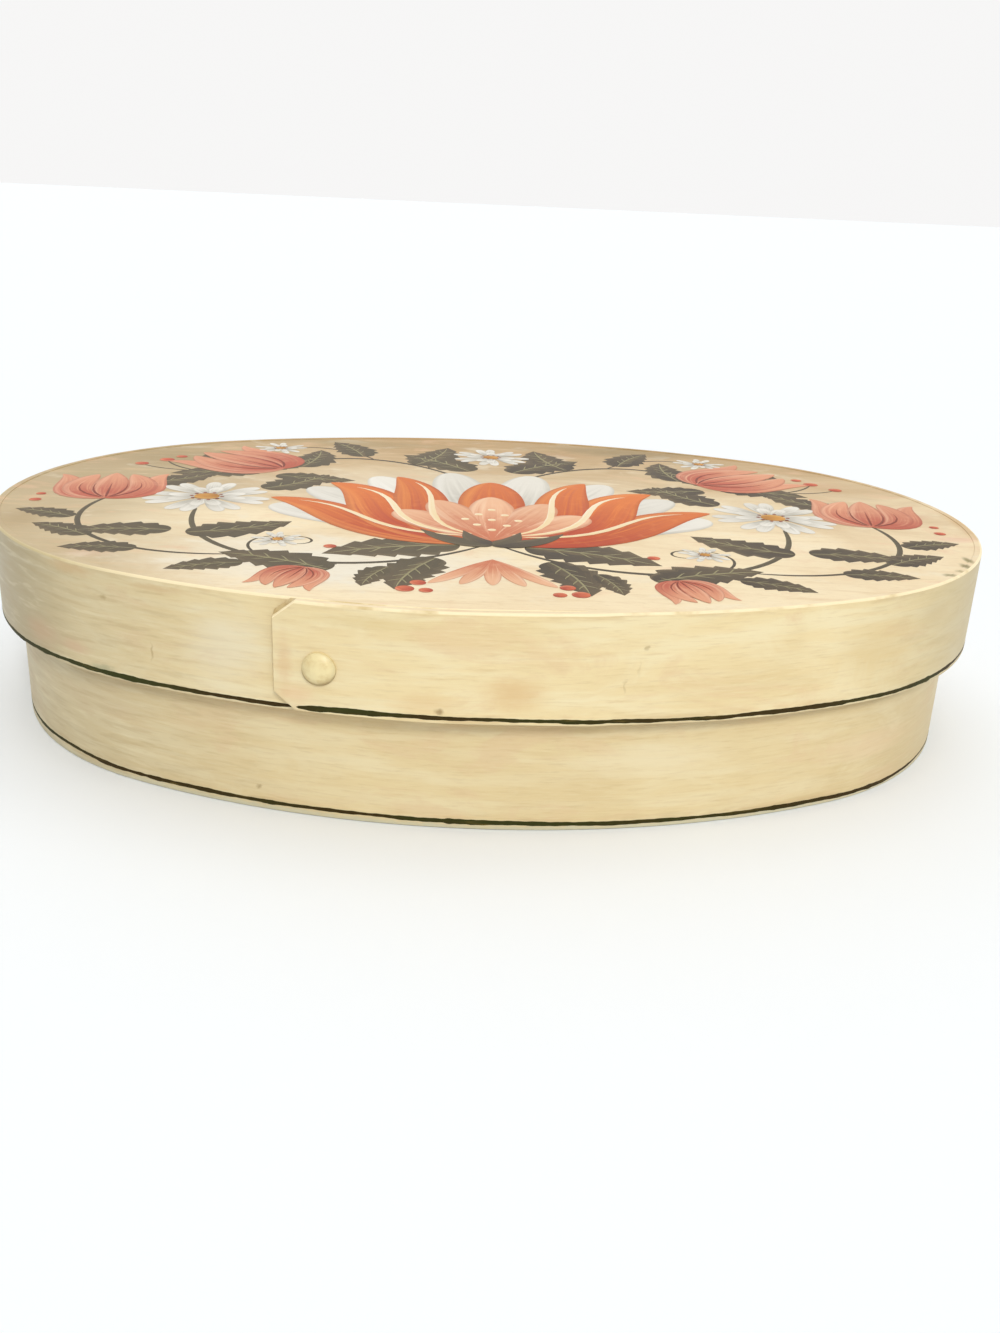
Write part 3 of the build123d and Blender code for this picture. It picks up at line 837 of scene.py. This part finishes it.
def tulip():
    """A tulip one unit long: two outer petals that curl out, two inner ones and the middle."""
    outer = stroke(0, 0.12 + 0.62j, 0.68 + 0.22j, 1.0 + 0.5j, 0.13, (0.75, 0.8), 0.09)
    inner = stroke(0.01, 0.2 + 0.42j, 0.66 + 0.3j, 0.98 + 0.16j, 0.14, (0.7, 0.7), 0.12)
    middle = stroke(0.01, 0.3, 0.6, 1.04, 0.17, (0.75, 0.75), 0.15)
    return [*both_sides([outer, inner], 1), middle]


def tulip_lines():
    """Fine dark lines at the foot of a tulip's petals, which shade it."""
    return [stroke(0.05 + 0.03j * t, 0.2 + 0.2j * t, 0.4 + 0.24j * t, 0.62 + 0.2j * t,
                   0.012, (0.3, 0.9), 0.19) for t in (-1.3, -0.7, 0, 0.7, 1.3)]


white_petals = both_sides([
    stroke(0.06, *(toward(lean) * part for part in (0.35, 0.7, length)), 0.105, (0.9, 0.5), 0.05)
    for lean, length in ((62, 0.86), (44, 0.95), (26, 1.0), (9, 1.02))], 1)
orange_half = [
    stroke(0, 0.02 + 0.5j, 0.42 + 0.46j, 0.5 + 0.78j, 0.10, (0.7, 0.7), 0.1),
    stroke(0.01, 0.1 + 0.52j, 0.62 + 0.28j, 0.76 + 0.6j, 0.115, (0.7, 0.7), 0.12),
    stroke(0.02, 0.14 + 0.36j, 0.62 + 0.16j, 0.9 + 0.36j, 0.105, (0.7, 0.7), 0.14)]
orange_middle = stroke(0.02, 0.3, 0.6, 0.86, 0.12, (0.8, 0.6), 0.15)
peach_petals = [
    stroke(0.03, *(toward(lean) * part for part in (0.2, 0.4, length)), 0.085, (0.85, 0.55), 0.18)
    for lean, length in ((40, 0.5), (-40, 0.5), (20, 0.58), (-20, 0.58), (0, 0.62))]
light_half = [
    stroke(0.08 + 0.1j, 0.1 + 0.46j, 0.42 + 0.42j, 0.47 + 0.68j, 0.012, (0.4, 0.7), 0.2),
    stroke(0.1 + 0.09j, 0.2 + 0.42j, 0.58 + 0.26j, 0.7 + 0.5j, 0.014, (0.4, 0.7), 0.2),
    stroke(0.1 + 0.06j, 0.24 + 0.3j, 0.6 + 0.14j, 0.82 + 0.29j, 0.013, (0.4, 0.7), 0.2)]
seeds = scattered(disc(0.014, 0.22), [
    (spot, 0, 1) for spot in ((0.16, 0), (0.22, 0.05), (0.22, -0.05), (0.29, 0), (0.29, 0.09),
                              (0.29, -0.09), (0.36, 0.045), (0.36, -0.045), (0.43, 0))])
great_place = ((0, -62), 90, 118)
whites = placed(white_petals, *great_place)
oranges = placed([*orange_half, *flipped(orange_half), orange_middle], *great_place)
peaches = placed(peach_petals, *great_place)
light_lines = placed([*light_half, *flipped(light_half)], *great_place)
light_lines += placed(seeds, *great_place)
peaches += placed([stroke(0.1, 0.4 + 0.1j * t, 0.7 + 0.18j * t, 1 + 0.32j * t,
                          0.09, (0.9, 0.6), 0.06) for t in (-2, -1, 0, 1, 2)], (0, -80), -90, 34)

back_daisy = ((0, 96), 0, 19)
side_daisies = [((118, -6), 8, 26), ((79, -67), 8, 10), ((104, 99), 8, 13)]
side_middles = [(spot, 0, size) for spot, _, size in side_daisies]
side_whites = [s for petals, place in zip((15, 9, 9), side_daisies)
               for s in placed(daisy(petals), *place)]
whites += placed(daisy(13), *back_daisy) + both_sides(side_whites)
heart = disc(0.2, 0.15)
hearts = placed(heart, *back_daisy) + both_sides(scattered(heart, side_middles))
dots = placed(ring_of_dots(0.035), *back_daisy)
dots += both_sides(scattered(ring_of_dots(0.032), side_middles))
tulips = [((157, -16), 80, 45), ((95, 52), 34, 50), ((64, -101), -74, 24)]
salmons = both_sides(scattered(tulip(), tulips))
dark_lines = both_sides(scattered(tulip_lines(), tulips)) + dots
berries = both_sides(scattered(disc(1, 0.1), [(spot, 30, size) for spot, size in (
    ((151, 62), 3.4), ((160, 52), 3.1), ((146, 70), 2.6), ((25, -114), 2.8), ((29, -121), 3.2),
    ((22, -122), 2.4), ((59, -74), 2.4), ((183, -22), 2.4), ((184, -12), 2.0))]))

for name, strokes, paint, colours, edging, crown, stations in (
    ("painted_white_petals", whites, "petal_grey_white",
     ("B9B4A6", "EDE8DC", "F4F0E6", "A59E8E"), 0.4, 0.03, 19),
    ("painted_orange_petals", oranges, "petal_orange_red",
     ("B8431C", "E07B38", "EE9A52", "9C3517"), 0.45, 0.03, 33),
    ("painted_salmon_petals", salmons, "petal_salmon",
     ("BE5F46", "E2A07C", "F0BE9C", "A34E3A"), 0.5, 0.03, 21),
    ("painted_peach_petals", peaches, "petal_peach",
     ("CF7A55", "EFBC94", "F6D2B0", "B5603F"), 0.5, 0.03, 21),
    ("painted_hearts", hearts, "heart_ochre",
     ("B57A2C", "D79A45", "E8B764", "8A5A20"), 0.5, 0.03, 19),
    ("painted_berries", berries, "berry_coral",
     ("B84A30", "D9714B", "F0A27C", "93351F"), 0.5, 0.03, 15),
    ("painted_dark_lines", dark_lines, "fine_red_brown",
     ("7A3322", "94452E", "A85A40", "6A2A1C"), 0.2, 0.015, 9),
    ("painted_light_lines", light_lines, "fine_cream",
     ("F2D9A8", "F8E8C6", "FFF6DE", "E8C890"), 0.1, 0.015, 15),
):
    laid_paint = brushed_colour(paint, *colours, edging)
    painted(name, strokes, laid_paint, crown, stations)

# Lid band: the lid's own strip, bent and lapped as the base's is, with its lap on the front left.
# It overhangs the base's band. Its upper edge is sanded round, its outer corner shows as a pale
# rim of painted highlight over rubbed paint, and the ground's paint runs up its inner corner.
# Its cream paint greys towards both ends of the box with painted shade.

lid_bottom, lid_band_height = 42.5, 38.5
lid_paint = streaked_paint(
    "lid_cream_paint", 0.0, top=lid_bottom + lid_band_height, line_height=44.0,
    colours=("EDD8A6", "F1E2B8", "DEC590", "E5C89A", "CDB080"),
    marks=[(-135, 71.2, 2.3, 1.5, 0.5, "9C8250"), (-116, 55, 0.7, 4.2, 0.5, "A98C5C"),
           (-138, 44.8, 8, 2.2, 0.5, "8F9470"), (-16, 47.4, 2.4, 1.6, 0.8, "7A5F34"),
           (43.5, 56, 0.8, 3.4, 0.28, "A98F5E"), (50, 69, 1.2, 1.0, 0.45, "9A8150"),
           (48, 62, 0.7, 4.0, 0.18, "B59C68"), (-150, 78.5, 18, 3.0, 0.6, "C9A877"),
           (-112, 77.5, 16, 2.6, 0.5, "C9A877"), (-171, 51, 16, 8, 0.4, "C99F7C"),
           (-150, 50, 10, 4, 0.4, "D3A988"), (-62, 49.5, 9, 6, 0.45, "E6BE94"),
           (-88, 61, 22, 20, 0.42, "E8DFC6"), (8, 54, 15, 9, 0.8, "E0BF8A"),
           (-20, 50, 16, 6, 0.5, "E2C08A"), (168, 70, 16, 8, 0.4, "C9B486"),
           (-40, 76, 34, 3.4, 0.5, "DDC58C"), (-66, 60, 4, 16, 0.5, "DDB98A"),
           (138, 62, 26, 14, 0.5, "D9BE86")],
    # Shares of painted shade towards the box's left and right ends
    end_shade=(0.68, 0.78, 0.66),
)
# The pale rim of the lid's upper corner is painted highlight on rubbed paint, dulled at the left
# end by painted shade
lid_edge_highlight = rubbed_and_highlit_edge("lid_edge_painted_highlight", "FBE9BE", "D9C08A", 42.0, 0.52, 0.7, left_end_shade=0.75)
lid_side = make_piece(
    "lid_side_band",
    [lapped_strip(0.0, lid_bottom, lid_band_height, top_round=0.8, low_round=0.35,
                  inner_round=0.3, uneven=[
        (0, 1.1), (30, 1.1), (52, 0.7), (80, 0.5), (104, 0), (135, -0.25), (152, -0.35),
        (180, -0.25), (225, 0), (900, 0), (1000, -0.35), (1060, -0.45), (1110, -0.3), (1140, 0)])],
    [lid_paint, band_inside, pared_wood, lid_edge_highlight, lid_ground],
)
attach(lid_side, "lid")
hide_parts("lid_band")

# Lid button: the same turned button, glued through both plies of the lid's lap, near the cut
# corners of the outer ply.

lid_button_height = 16.5
lid_button = make_piece(
    "lid_lap_button", [turned_button(0.0, lid_bottom + lid_button_height)],
    [button_paint("lid_button_paint", "EEDDA8", "DFC890", "84683A")],
)
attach(lid_button, "lid")
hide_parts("lid_button")

# Lid pegs: ten pegs like the base's, of the same pale wood, driven through the lid's band into
# the edge of its board.

nodes["lid_pegs"].data.materials.clear()
nodes["lid_pegs"].data.materials.append(peg_wood)

# The lid's painted line: the same dark line, a little broader, just above the lower edge of the
# lid. It stops at the cut corner of the lap and goes on under it.

lid_course = [
    (0, 1.2, 1), (25, 1.4, 1.05), (50, 0.9, 0.9), (73, 0.8, 0.75), (96, 0, 1.25), (112, -0.3, 1),
    (130, -0.4, 0.6), (148, -1.0, 0.85), (175, -0.7, 1), (220, -0.2, 0.95), (245, 0.5, 0.75),
    (275, 0.4, 0.55), (340, 0, 0.8), (820, 0, 0.9), (896, -0.4, 0.8), (990, -0.7, 0.8),
    (1036, -0.7, 1.3), (1060, -0.65, 1.2), (1085, -0.6, 0.75), (1110, -0.6, 0.8)]
lid_line = make_piece(
    "lid_painted_line",
    [brushed_line(0.0, height=44.1, width=1.7, start=7.6, end=round_the_oval(0.0) + 7.0, seed=5,
                  course=lid_course)],
    [dark_line], crease=80,
)
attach(lid_line, "lid")

# Floor and light: a plain pale sheet to stand on, an even pale surround, and three broad soft
# lamps, in front, overhead and behind.

floor_reach, floor_level = 30, -0.0002
ground = bpy.data.meshes.new("floor")
ground.from_pydata([(x * floor_reach, y * floor_reach, floor_level)
                    for x, y in ((-1, -1), (1, -1), (1, 1), (-1, 1))], [], [(0, 1, 2, 3)])
floor = in_scene("floor", ground)
pale, pale_tree = fresh_material("pale_floor")
feed(pale_tree.nodes["Principled BSDF"], {
    "Base Color": (0.935, 0.965, 0.99, 1), "Roughness": 0.8, "Specular IOR Level": 0.2})
ground.materials.append(pale)

world = bpy.data.worlds.new("studio")
bpy.context.scene.world = world
world.use_nodes = True
sky = world.node_tree
rays = sky.nodes.new("ShaderNodeLightPath").outputs
mirrored = sums("MAXIMUM", rays["Is Glossy Ray"], rays["Is Transmission Ray"])
seen = sums("MAXIMUM", rays["Is Camera Ray"], mirrored)
feed(sky.nodes["Background"], {
    "Color": mixed(seen, (0.975, 0.985, 1.0, 1), (0.93, 0.925, 0.92, 1)),
    "Strength": times(seen, 0.62, 0.38)})


def soft_light(name, place, power, spread, colour):
    """A broad, even light that comes from the direction of `place`."""
    light = bpy.data.lights.new(name, "SUN")
    light.energy, light.angle, light.color = power, radians(spread), colour
    lamp = in_scene(name, light)
    lamp.location = place
    lamp.rotation_mode = "QUATERNION"
    lamp.rotation_quaternion = (-Vector(place)).to_track_quat("-Z", "Y")


soft_light("front_light", (0.22, -1.0, 0.83), 1.14, 14, (1.0, 0.99, 0.97))
soft_light("overhead_light", (0.25, -0.3, 1.0), 0.95, 80, (1.0, 1.0, 0.995))
soft_light("back_light", (-0.15, 0.7, 1.0), 0.6, 60, (1.0, 0.975, 0.93))

# Camera: it stands where the photograph was taken from, in front of the box, above the lid and
# close. It looks from `away` metres at a point in the box, turned, tipped down and rolled by
# angles in radians.

aim = Vector((0.006337, -0.011079, 0.01165))
away, turn, rise, roll = 0.522754, -0.027, 0.372, 0.045
focal_pixels, photo_height = 1205.3, 1333
into = Vector((-sin(turn) * cos(rise), cos(turn) * cos(rise), -sin(rise)))
level_right = Vector((cos(turn), sin(turn), 0))
level_up = level_right.cross(into)
right = level_right * cos(roll) + level_up * sin(roll)
up = -level_right * sin(roll) + level_up * cos(roll)
lens = bpy.data.cameras.new("camera")
lens.lens, lens.sensor_width = focal_pixels * 36 / photo_height, 36
lens.clip_start, lens.clip_end = 0.01, 50
camera = in_scene("camera", lens)
axes = Matrix((right, up, -into)).transposed()
camera.matrix_world = Matrix.Translation(aim - into * away) @ axes.to_4x4()
bpy.context.scene.camera = camera
bpy.context.scene.view_settings.view_transform = "Standard"

bpy.context.view_layer.update()
